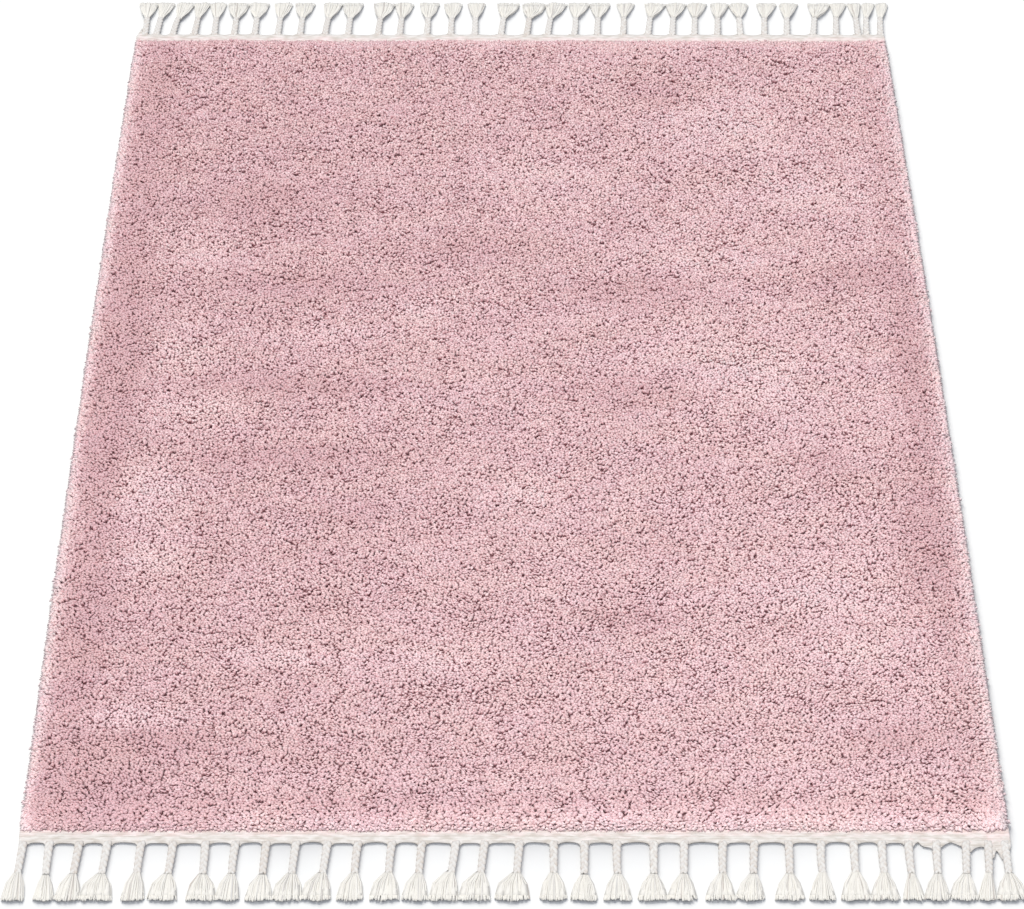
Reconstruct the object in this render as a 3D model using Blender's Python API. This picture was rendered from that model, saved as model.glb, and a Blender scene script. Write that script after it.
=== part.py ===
"""A shag rug lying flat: a lumpy pink pile field, an overcast binding along each long side, and at each
end a woven hem strip whose warp is plaited in braids that open into tassels. Metres, +Z up. X runs across
the rug and Y along it. The origin is on the floor under the rug's middle, and the front end is at -Y."""

import math
import random

import bmesh
import bpy
from mathutils import Matrix, Vector, noise

MM = 0.001
GAP = 0.3 * MM  # between pieces that touch
SHARP_ANGLE = 0.9  # radians; gentler edges are shaded smooth

# The cloth.
RUG_WIDTH = 1.200  # over the bindings, at the ends
RUG_LENGTH = 1.700  # over the hem strips, without the braids
SIDE_BOW = 4 * MM  # how far each long side swells outward at its middle

# The bindings.
BINDING_WIDTH = 7 * MM
BINDING_HEIGHT = 5 * MM
BINDING_SIDES = 8
BINDING_STEPS = 16

# The hem strips.
HEM_WIDTH = 20 * MM
HEM_THICKNESS = 3.5 * MM
SCALLOP_OUT = 1 * MM  # at a braid's root
SCALLOP_IN = 2 * MM  # halfway between two braids

# The pile field.
PILE_HEIGHT = 24 * MM
FIELD_COLUMNS = 36
FIELD_ROWS = 51
LUMP_ACROSS = 0.150  # the size of a lump, across the rug and along it
LUMP_ALONG = 0.085
LUMP_HEIGHT = 6.5 * MM
TUFT_SIZE = 0.062
TUFT_HEIGHT = 4 * MM
NOISE_LAYER = 3.7
# The rim, from the field outward: how far in from the pile's edge each ring lies, its height, and the share of
# the lumps' height that it keeps.
RIM_RINGS = (
    {"inset": 44 * MM, "height": PILE_HEIGHT, "lumps": 1.0},
    {"inset": 18 * MM, "height": 18 * MM, "lumps": 0.7},
    {"inset": 5 * MM, "height": 10.5 * MM, "lumps": 0.4},
    {"inset": 0.0, "height": 5.6 * MM, "lumps": 0.0},
)
LOCK_RING = 2  # locks grow from the faces outside this ring

# The locks at the rim.
LOCK_EVERY = 2  # one face in this many grows a lock
LOCK_REACH = 8 * MM
LOCK_REACH_SPREAD = 1.5 * MM
LOCK_SWAY = 4 * MM  # how far a tip may lean along the rim
LOCK_SEED = 11
LOCK_RINGS = (
    {"reach": 0.55, "width": 0.70, "low": 5.8 * MM, "high": 10.0 * MM},
    {"reach": 1.00, "width": 0.40, "low": 5.6 * MM, "high": 8.2 * MM},
)

# The fringe.
FRINGE_LENGTH = 91 * MM  # from the strip's edge to the tassels' tips
BRAID_LENGTH = 50 * MM
ROOT_WIDTH = 10 * MM
NECK_WIDTH = 8 * MM
BRAID_HEIGHT = 6.5 * MM
NECK_HEIGHT = 5.5 * MM
BRAID_STEPS = 3
NECK_SHARE = 0.4  # a neck moves this share of its tassel's lean
LOCKS_IN_TASSEL = 3
LOCK_GAP = 0.8 * MM  # between the tips of two locks, and of two tassels
TIP_SPREAD = 2 * MM  # how uneven the cut ends are
FRONT_SEED = 21
BACK_SEED = 22
TASSEL_RINGS = (
    {"reach": 0.40, "flare": 0.72, "height": 5.0 * MM},
    {"reach": 1.00, "flare": 1.00, "height": 3.0 * MM},
)

# Each tassel, from left to right, in mm: where its braid leaves the strip, and its tip's left and right corners
# from there.
TASSEL_COLUMNS = ("root", "left", "right")
FRONT_TASSELS = (
    (-594, -17, 9), (-562, -11, 13), (-526, -22, 7), (-492, -31, 11), (-451, -18, 9), (-413, -24, 10),
    (-374, -17, 17), (-337, -22, 8), (-300, -21, 9), (-264, -25, 8), (-226, -29, 6), (-189, -23, 7),
    (-148, -25, 9), (-112, -23, 7), (-71, -31, 2), (-36, -31, 6), (6, -30, 10), (47, -17, 14),
    (84, -18, 13), (124, -18, 14), (168, -21, 13), (205, -25, 11), (252, -25, 10), (290, -27, 6),
    (331, -21, 13), (371, -20, 10), (410, -21, 13), (444, -22, 14), (476, -14, 11), (510, -23, 7),
    (546, -28, 4), (573, -21, -1), (592, -18, 18),
)
BACK_TASSELS = (
    (-587, -15, 15), (-569, -3, 23), (-542, 1, 29), (-508, -6, 20), (-475, -13, 13), (-444, -14, 19),
    (-411, -12, 19), (-374, -8, 19), (-338, -11, 20), (-298, -4, 25), (-261, -13, 22), (-213, -9, 25),
    (-178, -11, 20), (-135, -12, 19), (-96, -11, 17), (-58, -11, 16), (-16, -5, 31), (25, -5, 32),
    (59, -1, 32), (101, -7, 27), (139, -10, 23), (180, -7, 21), (220, -2, 31), (259, -7, 26),
    (295, -7, 23), (331, -6, 23), (369, -14, 16), (407, -7, 24), (443, -6, 23), (485, -2, 34),
    (522, -4, 23), (558, -10, 10), (571, 0, 20), (594, 0, 18),
)

COLOURS = {  # linear base colour, roughness
    "pile": ((0.60, 0.375, 0.405), 0.95),
    "fringe_front": ((0.83, 0.80, 0.73), 0.90),
    "fringe_back": ((0.82, 0.79, 0.72), 0.90),
    "binding_left": ((0.69, 0.61, 0.60), 0.92),
    "binding_right": ((0.69, 0.61, 0.60), 0.92),
}

PILE_HALF_X = RUG_WIDTH / 2 - BINDING_WIDTH - GAP
PILE_HALF_Y = RUG_LENGTH / 2 - HEM_WIDTH - GAP


def clear_scene():
    for obj in list(bpy.data.objects):
        bpy.data.objects.remove(obj, do_unlink=True)


def principled(name):
    colour, roughness = COLOURS[name]
    material = bpy.data.materials.new(name)
    material.use_nodes = True
    shader = material.node_tree.nodes["Principled BSDF"]
    shader.inputs["Base Color"].default_value = (*colour, 1)
    shader.inputs["Roughness"].default_value = roughness
    shader.inputs["Metallic"].default_value = 0.0
    return material


def add_object(name, bm, collection):
    """Makes the object of a finished bmesh, with its faces pointing out."""
    bmesh.ops.recalc_face_normals(bm, faces=bm.faces)
    mesh = bpy.data.meshes.new(name)
    bm.to_mesh(mesh)
    bm.free()
    mesh.materials.append(principled(name))
    mesh.shade_smooth()
    mesh.set_sharp_from_angle(angle=SHARP_ANGLE)
    obj = bpy.data.objects.new(name, mesh)
    collection.objects.link(obj)
    return obj


def between(start, end, share):
    return start + (end - start) * share


def bow_sides(bm):
    """Swells the long sides, most at the middle and not at all at the ends."""
    for vert in bm.verts:
        along = vert.co.y / (RUG_LENGTH / 2)
        vert.co.x *= 1 + SIDE_BOW / (RUG_WIDTH / 2) * (1 - along**2)


# ---- The pile field


def lump(x, y):
    """How far the pile's top lies above or below its mean height: broad lumps, with tufts on them."""
    broad = noise.noise(Vector((x / LUMP_ACROSS, y / LUMP_ALONG, NOISE_LAYER)))
    small = noise.noise(Vector((x / TUFT_SIZE, y / TUFT_SIZE, NOISE_LAYER)))
    return LUMP_HEIGHT * broad + TUFT_HEIGHT * small


def set_ring(verts, inset, height, lumps):
    """Moves rim vertices, which lie on a rectangle, onto the rectangle of this inset."""
    half_x = max(abs(vert.co.x) for vert in verts)
    half_y = max(abs(vert.co.y) for vert in verts)
    for vert in verts:
        vert.co.x *= (PILE_HALF_X - inset) / half_x
        vert.co.y *= (PILE_HALF_Y - inset) / half_y
        vert.co.z = height + lumps * lump(vert.co.x, vert.co.y)


def grow_rim(bm, rim_edges, **ring):
    """Adds one ring outside the open rim. Returns its faces and the new open rim."""
    grown = bmesh.ops.extrude_edge_only(bm, edges=rim_edges)["geom"]
    faces = [item for item in grown if isinstance(item, bmesh.types.BMFace)]
    verts = [item for item in grown if isinstance(item, bmesh.types.BMVert)]
    set_ring(verts, **ring)
    return faces, [edge for edge in bm.edges if edge.is_boundary]


def pull_lock(bm, face, outward, sway, reach):
    """Draws a tapered four-sided lock out of a rim face. outward is a unit vector away from the rug."""
    centre = face.calc_center_median()
    along = Vector((-outward.y, outward.x, 0))
    width = max((vert.co - centre).dot(along) for vert in face.verts)
    edge_distance = max(vert.co.dot(outward) for vert in face.verts)
    middle_height = centre.z
    for ring in LOCK_RINGS:
        face = bmesh.ops.extrude_discrete_faces(bm, faces=[face])["faces"][0]
        here = face.calc_center_median()
        for vert in face.verts:
            side = 1 if (vert.co - here).dot(along) > 0 else -1
            shift = sway * ring["reach"] + side * width * ring["width"]
            place = along * (centre.dot(along) + shift) + outward * (edge_distance + reach * ring["reach"])
            place.z = ring["high"] if vert.co.z > middle_height else ring["low"]
            vert.co = place
        middle_height = (ring["low"] + ring["high"]) / 2


def rim_locks(bm, faces):
    """Grows a lock from one face in every few along each edge, clear of the corners."""
    chance = random.Random(LOCK_SEED)
    chosen = []
    for outward in (Vector((-1, 0, 0)), Vector((1, 0, 0)), Vector((0, -1, 0)), Vector((0, 1, 0))):
        along = Vector((-outward.y, outward.x, 0))
        mine = [face for face in faces if face.calc_center_median().dot(outward) > rim_distance(outward)]
        mine.sort(key=lambda face: face.calc_center_median().dot(along))
        chosen += [(face, outward) for face in mine[1 : len(mine) - 1 : LOCK_EVERY]]
    for face, outward in chosen:
        sway = chance.uniform(-LOCK_SWAY, LOCK_SWAY)
        reach = LOCK_REACH + chance.uniform(-LOCK_REACH_SPREAD, LOCK_REACH_SPREAD)
        pull_lock(bm, face, outward, sway, reach)


def rim_distance(outward):
    """A face of the outermost sloping ring lies past this distance only on the edge that faces outward."""
    half = PILE_HALF_X if outward.x else PILE_HALF_Y
    return half - RIM_RINGS[LOCK_RING]["inset"]


def build_pile(collection):
    bm = bmesh.new()
    bmesh.ops.create_grid(bm, x_segments=FIELD_COLUMNS, y_segments=FIELD_ROWS, size=1.0)
    set_ring(bm.verts, **RIM_RINGS[0])
    rim_edges = [edge for edge in bm.edges if edge.is_boundary]
    ring_faces = {}
    for number, ring in enumerate(RIM_RINGS[1:]):
        ring_faces[number], rim_edges = grow_rim(bm, rim_edges, **ring)
    _, rim_edges = grow_rim(bm, rim_edges, inset=0.0, height=0.0, lumps=0.0)
    bmesh.ops.edgeloop_fill(bm, edges=rim_edges)
    bmesh.ops.recalc_face_normals(bm, faces=bm.faces)
    rim_locks(bm, ring_faces[LOCK_RING])
    bow_sides(bm)
    return add_object("pile", bm, collection)


# ---- The bindings


def build_binding(name, side, collection):
    """A low rounded roll along one long side, on the floor. side is -1 at the left and 1 at the right."""
    bm = bmesh.new()
    flat_down = Matrix.Rotation(math.pi / BINDING_SIDES, 4, "Z")
    along_y = Matrix.Rotation(math.pi / 2, 4, "X")
    corner = 1 / math.cos(math.pi / BINDING_SIDES)
    bmesh.ops.create_cone(
        bm,
        cap_ends=True,
        segments=BINDING_SIDES,
        radius1=corner,
        radius2=corner,
        depth=1.0,
        matrix=along_y @ flat_down,
    )
    cut_steps(bm)
    middle = RUG_WIDTH / 2 - BINDING_WIDTH / 2
    half_length = RUG_LENGTH / 2 - HEM_WIDTH - GAP
    for vert in bm.verts:
        vert.co.x = side * middle + vert.co.x * BINDING_WIDTH / 2
        vert.co.y *= 2 * half_length
        vert.co.z = (vert.co.z + 1) * BINDING_HEIGHT / 2
    bow_sides(bm)
    return add_object(name, bm, collection)


def cut_steps(bm):
    """Cuts the roll into steps along Y, so that it can follow the side's bow."""
    for step in range(1, BINDING_STEPS):
        y = step / BINDING_STEPS - 0.5
        geometry = bm.verts[:] + bm.edges[:] + bm.faces[:]
        bmesh.ops.bisect_plane(bm, geom=geometry, plane_co=(0, y, 0), plane_no=(0, 1, 0))


# ---- The hem strips and their fringe


def tassels_of(rows):
    """The tassels in metres, each trimmed to stand clear of the one before."""
    tassels = []
    for row in rows:
        sizes = dict(zip(TASSEL_COLUMNS, row))
        root = sizes["root"] * MM
        left = root + sizes["left"] * MM
        right = root + sizes["right"] * MM
        if tassels:
            left = max(left, tassels[-1]["right"] + LOCK_GAP)
        lean = (left + right) / 2 - root
        tassels.append({"root": root, "neck": root + NECK_SHARE * lean, "left": left, "right": right})
    return tassels


def strip_stations(tassels):
    """The strip's outer edge, from left to right: (x, y) with y measured from the rug's middle."""
    straight = RUG_LENGTH / 2
    stations = [(-RUG_WIDTH / 2, straight)]
    for number, tassel in enumerate(tassels):
        if number:
            middle = (tassels[number - 1]["root"] + tassel["root"]) / 2
            stations.append((middle, straight - SCALLOP_IN))
        stations.append((tassel["root"] - ROOT_WIDTH / 2, straight + SCALLOP_OUT))
        stations.append((tassel["root"] + ROOT_WIDTH / 2, straight + SCALLOP_OUT))
    stations.append((RUG_WIDTH / 2, straight))
    return stations


def strip_mesh(stations):
    """The flat strip, one cell between two stations, with its outer edge at +Y."""
    bm = bmesh.new()
    last = len(stations) - 1
    bmesh.ops.create_grid(bm, x_segments=last, y_segments=1, size=1.0)
    for vert in bm.verts:
        x, y = stations[round((vert.co.x + 1) / 2 * last)]
        vert.co = (x, y if vert.co.y > 0 else RUG_LENGTH / 2 - HEM_WIDTH, 0)
    raised = bmesh.ops.extrude_face_region(bm, geom=bm.faces[:])["geom"]
    for item in raised:
        if isinstance(item, bmesh.types.BMVert):
            item.co.z = HEM_THICKNESS
    bmesh.ops.recalc_face_normals(bm, faces=bm.faces)
    return bm


def pull(bm, face, left, right, reach, height):
    """Draws the face on to y = reach, as a ring that lies flat on the floor."""
    face = bmesh.ops.extrude_discrete_faces(bm, faces=[face])["faces"][0]
    centre = face.calc_center_median()
    for vert in face.verts:
        x = right if vert.co.x > centre.x else left
        z = height if vert.co.z > centre.z else 0.0
        vert.co = (x, reach, z)
    return face


def part_face(bm, face, parts):
    """Splits an end face side by side. Returns the parts from left to right."""
    reach = face.calc_center_median().y
    level = [edge for edge in face.edges if abs(edge.verts[0].co.z - edge.verts[1].co.z) < GAP]
    cut = bmesh.ops.subdivide_edges(bm, edges=level, cuts=parts - 1, use_grid_fill=True)
    new_verts = [item for item in cut["geom_inner"] if isinstance(item, bmesh.types.BMVert)]
    around = {near for vert in new_verts for near in vert.link_faces}
    ends = [near for near in around if all(abs(vert.co.y - reach) < GAP for vert in near.verts)]
    return sorted(ends, key=lambda near: near.calc_center_median().x)


def plait(bm, face, tassel):
    """The braid, from the strip to the neck. Returns its end face."""
    for step in range(1, BRAID_STEPS + 1):
        share = step / BRAID_STEPS
        middle = between(tassel["root"], tassel["neck"], share)
        half = between(ROOT_WIDTH, NECK_WIDTH, share) / 2
        reach = RUG_LENGTH / 2 + between(SCALLOP_OUT, BRAID_LENGTH, share)
        face = pull(bm, face, middle - half, middle + half, reach, between(BRAID_HEIGHT, NECK_HEIGHT, share))
    return face


def skirt(bm, face, tassel, chance):
    """The tassel: locks that leave the neck side by side and spread to the tassel's corners."""
    neck_left = tassel["neck"] - NECK_WIDTH / 2
    neck_right = tassel["neck"] + NECK_WIDTH / 2
    for number, lock in enumerate(part_face(bm, face, LOCKS_IN_TASSEL)):
        tip = FRINGE_LENGTH + chance.uniform(-TIP_SPREAD, TIP_SPREAD)
        sides = (number / LOCKS_IN_TASSEL, (number + 1) / LOCKS_IN_TASSEL)
        for ring in TASSEL_RINGS:
            edges = [
                between(
                    between(neck_left, neck_right, side),
                    between(tassel["left"], tassel["right"], side),
                    ring["flare"],
                )
                for side in sides
            ]
            margin = LOCK_GAP / 2 * ring["flare"]
            reach = RUG_LENGTH / 2 + between(BRAID_LENGTH, tip, ring["reach"])
            lock = pull(bm, lock, edges[0] + margin, edges[1] - margin, reach, ring["height"])


def build_fringe(name, rows, seed, end, collection):
    """A hem strip with its braids and tassels. end is -1 at the front and 1 at the back."""
    chance = random.Random(seed)
    tassels = tassels_of(rows)
    bm = strip_mesh(strip_stations(tassels))
    half_way = RUG_LENGTH / 2 - HEM_WIDTH / 2
    outer = [face for face in bm.faces if all(vert.co.y > half_way for vert in face.verts)]
    for tassel in tassels:
        root_face = min(outer, key=lambda face: abs(face.calc_center_median().x - tassel["root"]))
        outer.remove(root_face)
        skirt(bm, plait(bm, root_face, tassel), tassel, chance)
    for vert in bm.verts:
        vert.co.y *= end
    return add_object(name, bm, collection)


def main():
    clear_scene()
    rug = bpy.data.collections.new("shag_rug")
    bpy.context.scene.collection.children.link(rug)
    build_pile(rug)
    build_binding("binding_left", -1, rug)
    build_binding("binding_right", 1, rug)
    build_fringe("fringe_front", FRONT_TASSELS, FRONT_SEED, -1, rug)
    build_fringe("fringe_back", BACK_TASSELS, BACK_SEED, 1, rug)


main()
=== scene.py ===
"""Looks for the shag rug: about 195,000 cut yarn tufts over a slab, woven hem strips, plaited braids that
open into tassels of fine yarn, and overcast side bindings. Metres, +Z up. X runs across the rug, Y along it."""

import math

import bpy
import numpy as np
from mathutils import Matrix, Vector, noise


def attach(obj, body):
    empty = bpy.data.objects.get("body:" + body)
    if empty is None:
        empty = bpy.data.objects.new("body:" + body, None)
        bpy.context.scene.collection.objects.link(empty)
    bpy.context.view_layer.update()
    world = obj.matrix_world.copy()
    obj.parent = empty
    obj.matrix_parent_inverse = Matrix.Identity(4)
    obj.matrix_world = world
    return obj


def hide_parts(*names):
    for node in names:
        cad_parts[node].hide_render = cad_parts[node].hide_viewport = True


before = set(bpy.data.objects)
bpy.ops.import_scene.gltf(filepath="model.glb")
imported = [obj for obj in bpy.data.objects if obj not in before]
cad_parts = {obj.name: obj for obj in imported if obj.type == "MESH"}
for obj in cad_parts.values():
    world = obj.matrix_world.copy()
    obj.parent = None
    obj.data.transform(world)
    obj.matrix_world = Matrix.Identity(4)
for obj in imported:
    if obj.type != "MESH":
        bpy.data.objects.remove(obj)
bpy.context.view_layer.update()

MM = 0.001
TURN = 2 * math.pi
scene = bpy.context.scene

# ---- The camera

CAMERA_PLACE = (-0.02036, -3.39816, 2.93958)
CAMERA_DOWN = math.radians(42.144)
CAMERA_YAW = math.radians(-0.3388)
CAMERA_ROLL = math.radians(0.2313)
CAMERA_LENS = 112.18  # mm, on a sensor 36 mm wide

camera_data = bpy.data.cameras.new("camera")
camera_data.sensor_width = 36.0
camera_data.lens = CAMERA_LENS
camera_data.clip_start, camera_data.clip_end = 0.1, 100.0
camera = bpy.data.objects.new("camera", camera_data)
scene.collection.objects.link(camera)
camera.matrix_world = (
    Matrix.Translation(CAMERA_PLACE)
    @ Matrix.Rotation(CAMERA_YAW, 4, "Z")
    @ Matrix.Rotation(math.pi / 2 - CAMERA_DOWN, 4, "X")
    @ Matrix.Rotation(CAMERA_ROLL, 4, "Z")
)
scene.camera = camera
scene.view_settings.view_transform = "Standard"

# ---- Sizes, as the solids have them

RUG_WIDTH = 1.200
RUG_LENGTH = 1.700
SIDE_BOW = 4 * MM
BINDING_WIDTH = 7 * MM
BINDING_HEIGHT = 5 * MM
HEM_WIDTH = 20 * MM
HEM_THICKNESS = 3.5 * MM
GAP = 0.3 * MM
PILE_HALF_X = RUG_WIDTH / 2 - BINDING_WIDTH - GAP
PILE_HALF_Y = RUG_LENGTH / 2 - HEM_WIDTH - GAP
LUMP_ACROSS, LUMP_ALONG, LUMP_HEIGHT = 0.150, 0.085, 6.5 * MM
TUFT_SIZE, TUFT_HEIGHT = 0.062, 4 * MM
NOISE_LAYER = 3.7
RIM_INSETS = (0.0, 5 * MM, 18 * MM, 44 * MM)
RIM_HEIGHTS = (5.6 * MM, 10.5 * MM, 18 * MM, 24 * MM)
RIM_LUMPS = (0.0, 0.4, 0.7, 1.0)

FRINGE_LENGTH = 91 * MM
BRAID_LENGTH = 50 * MM
ROOT_WIDTH, NECK_WIDTH = 10 * MM, 8 * MM
BRAID_HEIGHT, NECK_HEIGHT = 6.5 * MM, 5.5 * MM
NECK_SHARE = 0.4
TASSEL_GAP = 0.8 * MM
TASSEL_COLUMNS = ("root", "left", "right")  # mm; the tip's corners are measured from the root
FRONT_TASSELS = (
    (-594, -17, 9), (-562, -11, 13), (-526, -22, 7), (-492, -31, 11), (-451, -18, 9), (-413, -24, 10),
    (-374, -17, 17), (-337, -22, 8), (-300, -21, 9), (-264, -25, 8), (-226, -29, 6), (-189, -23, 7),
    (-148, -25, 9), (-112, -23, 7), (-71, -31, 2), (-36, -31, 6), (6, -30, 10), (47, -17, 14),
    (84, -18, 13), (124, -18, 14), (168, -21, 13), (205, -25, 11), (252, -25, 10), (290, -27, 6),
    (331, -21, 13), (371, -20, 10), (410, -21, 13), (444, -22, 14), (476, -14, 11), (510, -23, 7),
    (546, -28, 4), (573, -21, -1), (592, -18, 18),
)
BACK_TASSELS = (
    (-587, -15, 15), (-569, -3, 23), (-542, 1, 29), (-508, -6, 20), (-475, -13, 13), (-444, -14, 19),
    (-411, -12, 19), (-374, -8, 19), (-338, -11, 20), (-298, -4, 25), (-261, -13, 22), (-213, -9, 25),
    (-178, -11, 20), (-135, -12, 19), (-96, -11, 17), (-58, -11, 16), (-16, -5, 31), (25, -5, 32),
    (59, -1, 32), (101, -7, 27), (139, -10, 23), (180, -7, 21), (220, -2, 31), (259, -7, 26),
    (295, -7, 23), (331, -6, 23), (369, -14, 16), (407, -7, 24), (443, -6, 23), (485, -2, 34),
    (522, -4, 23), (558, -10, 10), (571, 0, 20), (594, 0, 18),
)


# ---- Noise, falloffs and meshes


def field(x, y, size_x, size_y, layer):
    """Smooth noise from about -1 to 1 at each (x, y), with features of that size. layer tells them apart."""
    return np.array([noise.noise(Vector((a, b, layer))) for a, b in zip(x / size_x, y / size_y)])


def fade(distance, size):
    """1 where the distance is nothing, falling smoothly to nothing past that size."""
    return np.exp(-((distance / size) ** 2))


def between(start, end, share):
    return start + (end - start) * share


def unit(vectors):
    return vectors / np.maximum(np.linalg.norm(vectors, axis=-1, keepdims=True), 1e-12)


# Each yarn has a square cell in the map for baking, with a strip of it for each side. As shares of the cell:
CELL_MARGIN = 0.02
STRIP_MARGIN = 0.06
POINTS_START, POINTS_END = 0.02, 0.98
RINGS_START, RINGS_SPAN = 0.04, 0.92
CUT_START, CUT_END = 0.965, 0.995
FLAT_CUT = ((0.1, 0.97), (0.9, 0.97), (0.5, 1.0))


def strands(paths, across, radii, sides, flat, roll, blunt=False):
    """Yarns with paths (count, stations, 3) and radii (count, stations). across is each yarn's sideways
    direction, flat its depth over its width, and roll how far its first side is turned. The first station is
    a point, and so is the last, unless the yarn is cut blunt. Returns the vertices, the triangles, each
    vertex's share of the length, and each triangle corner's places in two maps: one for baking, with a cell
    for each yarn, and one that runs round the yarn and along it."""
    count, stations = radii.shape
    flat_end = blunt and sides == 3  # one triangle closes it
    tangent = unit(np.gradient(paths, axis=1))
    side = unit(across[:, None, :] - tangent * (across[:, None, :] * tangent).sum(-1, keepdims=True))
    lift = np.cross(side, tangent)
    angle = np.arange(sides) * TURN / sides
    angle = angle[None, None, :] + np.broadcast_to(roll, count)[:, None, None]
    depth = (np.broadcast_to(flat, count)[:, None] * radii)[:, :, None, None]
    ring = (
        paths[:, :, None, :]
        + radii[:, :, None, None] * np.cos(angle)[..., None] * side[:, :, None, :]
        + depth * np.sin(angle)[..., None] * lift[:, :, None, :]
    )
    share = np.linspace(0, 1, stations)
    first, last = 1, stations - 2 + blunt
    rings = last - first + 1
    own = 1 + rings * sides + (not flat_end)  # vertices a yarn
    points = np.empty((count, own, 3))
    points[:, 0] = paths[:, 0]
    points[:, 1 : 1 + rings * sides] = ring[:, first : last + 1].reshape(count, -1, 3)
    shares = np.concatenate([[0.0], np.repeat(share[first : last + 1], sides)])
    if not flat_end:
        points[:, -1] = paths[:, -1]
        shares = np.append(shares, 1.0)
    faces, places = [], []

    def add_face(*corners):
        faces.append([number for number, place in corners])
        places.append([place for number, place in corners])

    def corner(station, k, column):
        """A ring corner's number and place. column is the side whose strip of the map it is in."""
        u = (column + (STRIP_MARGIN if k == column else 1 - STRIP_MARGIN)) / sides
        return 1 + (station - first) * sides + k % sides, (u, RINGS_START + RINGS_SPAN * share[station])

    for k in range(sides):
        middle = (k + 0.5) / sides
        root, tip = (0, (middle, POINTS_START)), (own - 1, (middle, POINTS_END))
        add_face(root, corner(first, k + 1, k), corner(first, k, k))
        for s in range(first, last):
            a, b = corner(s, k, k), corner(s, k + 1, k)
            c, d = corner(s + 1, k + 1, k), corner(s + 1, k, k)
            add_face(a, b, c)
            add_face(a, c, d)
        if flat_end:
            continue
        low, high = corner(last, k, k), corner(last, k + 1, k)
        if blunt:
            low, high = (low[0], (low[1][0], CUT_START)), (high[0], (high[1][0], CUT_START))
            tip = (own - 1, (middle, CUT_END))
        add_face(low, high, tip)
    if flat_end:
        add_face(*[(corner(last, k, 0)[0], place) for k, place in enumerate(FLAT_CUT)])
    faces, places = np.array(faces)[:, ::-1], np.array(places)[:, ::-1]
    cells = math.ceil(math.sqrt(count))
    number = np.arange(count)
    start = np.stack([number % cells, number // cells], 1)
    all_faces = (faces[None] + (number * own)[:, None, None]).reshape(-1, 3)
    in_cell = places[None] * (1 - 2 * CELL_MARGIN) + CELL_MARGIN
    bake = ((in_cell + start[:, None, None, :]) / cells).reshape(-1, 2)
    length = np.linalg.norm(np.diff(paths, axis=1), axis=-1).sum(1)
    lay = np.broadcast_to(places[None], (count, *places.shape)).copy()
    lay[..., 1] *= length[:, None, None] / MM
    return points.reshape(-1, 3), all_faces, np.tile(shares, count), (bake, lay.reshape(-1, 2))


def per_vertex(values, points):
    """One value a yarn, repeated for each of its vertices."""
    return np.repeat(values, len(points) // len(values))


def make_piece(name, points, faces, material, replaced=None, slot=None, places=None, **attributes):
    mesh = bpy.data.meshes.new(name)
    mesh.from_pydata(points, [], faces)
    mesh.update()
    for layer_name, layer_places in zip(("OFBake", "lay"), places or ()):
        layer = mesh.uv_layers.new(name=layer_name)
        layer.data.foreach_set("uv", layer_places.astype(np.float32).ravel())
    for key, values in attributes.items():
        made = mesh.attributes.new(key, "FLOAT", "POINT")
        made.data.foreach_set("value", values.astype(np.float32))
    mesh.materials.append(material)
    mesh.shade_smooth()
    piece = bpy.data.objects.new(name, mesh)
    scene.collection.objects.link(piece)
    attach(piece, "root")
    if replaced:
        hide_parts(replaced)
    return piece


# ---- Materials


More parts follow.
